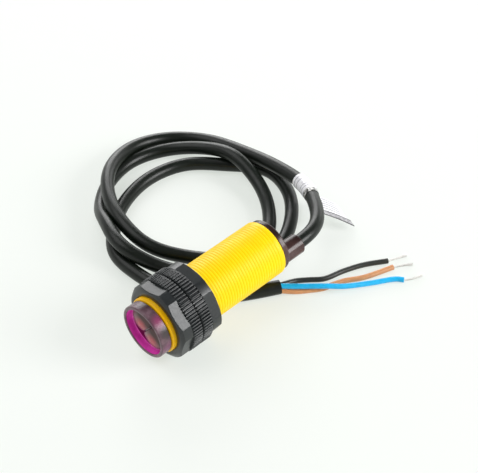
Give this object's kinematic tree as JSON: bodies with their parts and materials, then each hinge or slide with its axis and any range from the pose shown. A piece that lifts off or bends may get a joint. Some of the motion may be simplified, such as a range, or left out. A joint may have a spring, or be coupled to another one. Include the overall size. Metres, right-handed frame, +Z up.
{
  "type": "photoelectric sensor",
  "caption": "Infrared reflective proximity sensor in a yellow threaded barrel with dark hexagon flange nuts, twin lenses, and a coiled black cable with stripped wires.",
  "frame": {"origin": "bottom centre of the sensor without its cable, on the surface that it lies on", "axes": "+Z up; the sensor's axis runs from the lenses towards +Y and rises 3.5 degrees, because the barrel's rear lies on its own cable; +X to the right seen from the lens end"},
  "size_m": [0.1096, 0.0919, 0.0248],
  "materials": {
    "yellow_plastic": "satin moulded",
    "nut_plastic": "satin moulded",
    "infrared_window": "glossy translucent",
    "smoky_plastic": "glossy translucent",
    "black_plastic": "matt",
    "board_laminate": "satin",
    "capacitor_can": "satin",
    "chip_ceramic": "satin",
    "red_led": "glossy",
    "blue_plastic": "glossy",
    "screw_brass": "satin",
    "white_plastic": "satin",
    "cable_black": "smooth soft sheen",
    "wire_brown": "soft sheen",
    "wire_black": "soft sheen",
    "wire_blue": "soft sheen",
    "tinned_copper": "tinned",
    "label_white": "semi-gloss film",
    "label_film": "clear glossy film"
  },
  "bodies": {
    "housing": {"barrel": "yellow_plastic", "lens_cap": "infrared_window", "end_cap": "smoky_plastic", "optics_holder": "black_plastic", "emitter_led": "infrared_window", "receiver_photodiode": "black_plastic", "circuit_board": "board_laminate", "signal_ic": "black_plastic", "output_transistor": "black_plastic", "voltage_regulator": "black_plastic", "electrolytic_capacitor": "capacitor_can", "ceramic_capacitor_1": "chip_ceramic", "ceramic_capacitor_2": "chip_ceramic", "resistor_1": "black_plastic", "resistor_2": "black_plastic", "resistor_3": "black_plastic", "resistor_4": "black_plastic", "indicator_led": "red_led", "trimmer_housing": "blue_plastic", "cable_tail": "cable_black", "lead_brown": "wire_brown", "lead_black": "wire_black", "lead_blue": "wire_blue", "cable_jacket": "cable_black", "wire_brown": "wire_brown", "wire_black": "wire_black", "wire_blue": "wire_blue", "tip_brown": "tinned_copper", "tip_black": "tinned_copper", "tip_blue": "tinned_copper", "label_sleeve": "label_white", "label_band": "label_film", "label_flag": "label_white"},
    "front_nut": {"front_nut": "nut_plastic"},
    "rear_nut": {"rear_nut": "nut_plastic"},
    "trimmer_screw": {"trimmer_screw": "screw_brass"},
    "trimmer_wiper": {"trimmer_wiper": "white_plastic"}
  },
  "joints": [
    {"name": "front_nut_turn", "type": "hinge", "parent": "housing", "child": "front_nut", "pos_m": [0, -0.02109, 0.01216], "axis": [0, 0.9981, 0.061], "continuous": true},
    {"name": "rear_nut_turn", "type": "hinge", "parent": "housing", "child": "rear_nut", "pos_m": [0, -0.0131, 0.01265], "axis": [0, 0.9981, 0.061], "continuous": true},
    {"name": "trimmer_screw_turn", "type": "hinge", "parent": "housing", "child": "trimmer_screw", "pos_m": [-0.00022, 0.01759, 0.01863], "axis": [0, 0.9981, 0.061], "range_deg": [-1800, 1800]},
    {"name": "trimmer_wiper_slide", "type": "slide", "parent": "housing", "child": "trimmer_wiper", "axis": [0, 0.9981, 0.061], "range_m": [-0.00174, 0.00174]}
  ],
  "couplings": [
    {"joint": "trimmer_screw_turn", "follows": "trimmer_wiper_slide", "rad_per_m": 17952}
  ]
}
